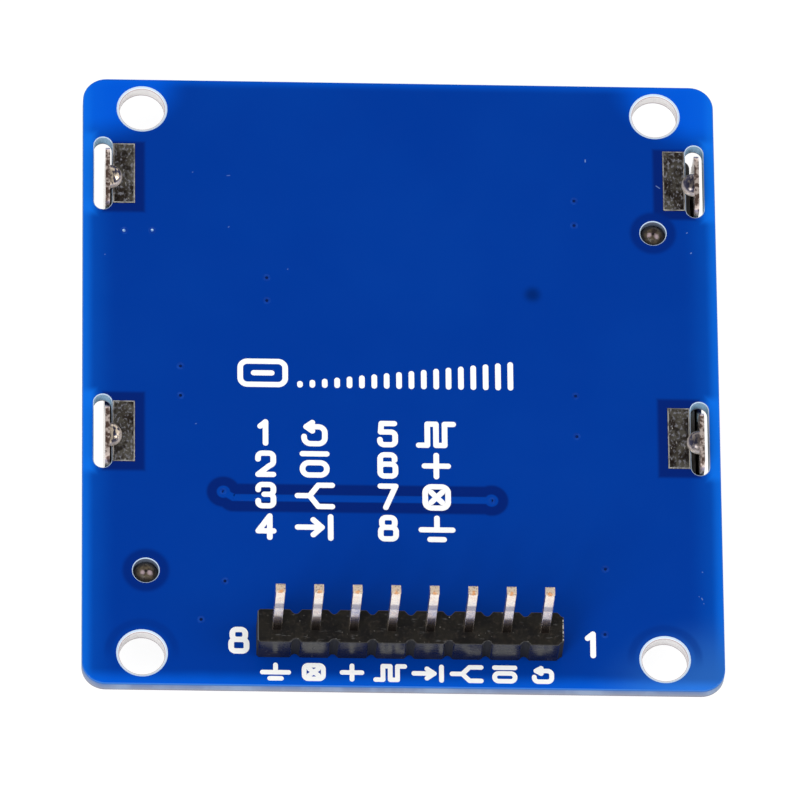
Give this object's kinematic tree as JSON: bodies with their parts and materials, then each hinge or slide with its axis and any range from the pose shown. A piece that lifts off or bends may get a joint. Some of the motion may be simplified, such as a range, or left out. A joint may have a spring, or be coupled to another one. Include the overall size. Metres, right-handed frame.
{
  "type": "graphic lcd module",
  "caption": "Small graphic display module: blue circuit board with corner mounting holes, clipped metal display bezel on one face and a single-row pin header on the other.",
  "frame": {"origin": "middle of the board's outline, on the plane of the bezel's display face, which the module lies on", "axes": "+Z out of the back of the board, the way the pins point; +Y in the plane of the board, away from the header; +X to the right as the back is seen with the header at the bottom"},
  "size_m": [0.0428, 0.045, 0.0135],
  "materials": {
    "board": "blue solder mask over glass-fibre laminate",
    "tin": "hot-air levelled tin, mottled",
    "bezel_metal": "bright tinplate",
    "polariser": "grey-green polarising film",
    "cell_glass": "clear soda-lime glass",
    "white_film": "white polyester film",
    "silicon": "bare silicon die",
    "clear_acrylic": "clear moulded acrylic",
    "gold": "gold plating",
    "conductive_rubber": "banded silicone rubber",
    "component_ceramic": "ceramic chip",
    "led_resin": "phosphor resin",
    "header_plastic": "black moulded plastic",
    "pin_metal": "tinned brass, copper showing at the cut tips",
    "solder": "bright solder",
    "white_ink": "white printed ink"
  },
  "bodies": {
    "root": {"bezel": "bezel_metal", "circuit_board": "board", "clip_pad_left_lower": "tin", "clip_pad_left_upper": "tin", "clip_pad_right_lower": "tin", "clip_pad_right_upper": "tin", "contact_fingers": "gold", "controller_chip": "silicon", "diffuser_film": "white_film", "front_glass": "cell_glass", "front_polariser": "polariser", "header_body": "header_plastic", "header_pin_1": "pin_metal", "header_pin_2": "pin_metal", "header_pin_3": "pin_metal", "header_pin_4": "pin_metal", "header_pin_5": "pin_metal", "header_pin_6": "pin_metal", "header_pin_7": "pin_metal", "header_pin_8": "pin_metal", "header_print": "white_ink", "legend_print": "white_ink", "light_guide": "clear_acrylic", "rear_glass": "cell_glass", "rear_polariser": "polariser", "reflector_film": "white_film", "reservoir_capacitor": "component_ceramic", "rubber_strip": "conductive_rubber", "series_resistor": "component_ceramic", "side_led_1": "led_resin", "side_led_2": "led_resin", "side_led_3": "led_resin", "side_led_4": "led_resin", "solder_joint_1": "solder", "solder_joint_2": "solder", "solder_joint_3": "solder", "solder_joint_4": "solder", "solder_joint_5": "solder", "solder_joint_6": "solder", "solder_joint_7": "solder", "solder_joint_8": "solder", "title_print": "white_ink"}
  },
  "joints": []
}
